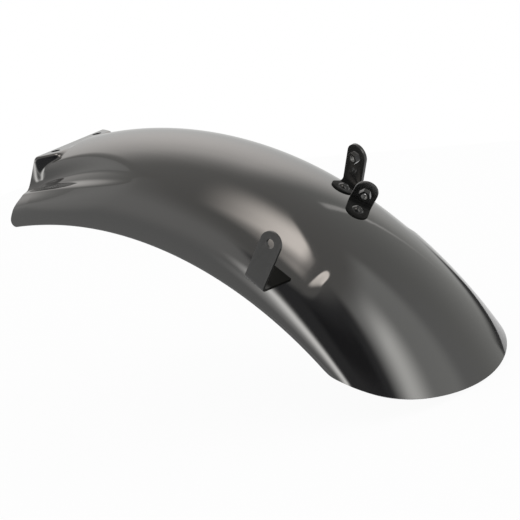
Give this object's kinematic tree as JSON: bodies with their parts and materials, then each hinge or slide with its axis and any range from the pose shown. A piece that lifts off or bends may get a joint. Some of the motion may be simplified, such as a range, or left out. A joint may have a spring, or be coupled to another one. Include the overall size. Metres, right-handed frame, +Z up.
{
  "type": "motorcycle rear fender",
  "caption": "Bobbed sheet-steel rear fender with a rounded tail, scalloped front shoulders, a bolt-on front flange, a side strut bracket and small brackets on the crown.",
  "frame": {"origin": "midway between the two front flange holes, on the flange's top face", "axes": "+X rearward along the flange, +Y to the motorcycle's right, +Z up, square to the flange"},
  "size_m": [0.4267, 0.241, 0.2508],
  "materials": {
    "shell_paint": "gloss black paint",
    "bracket_matte": "matte black powder coat",
    "bracket_gloss": "gloss black enamel",
    "fastener_black": "black oxide, oiled",
    "fastener_zinc": "zinc plated"
  },
  "bodies": {
    "root": {"fender_shell": "shell_paint", "strut_bracket": "bracket_matte", "tall_bracket": "bracket_gloss", "short_bracket": "bracket_gloss", "weld_nuts": "bracket_gloss", "foot_screws": "fastener_black", "washers": "fastener_zinc", "nuts": "fastener_zinc"}
  },
  "joints": []
}
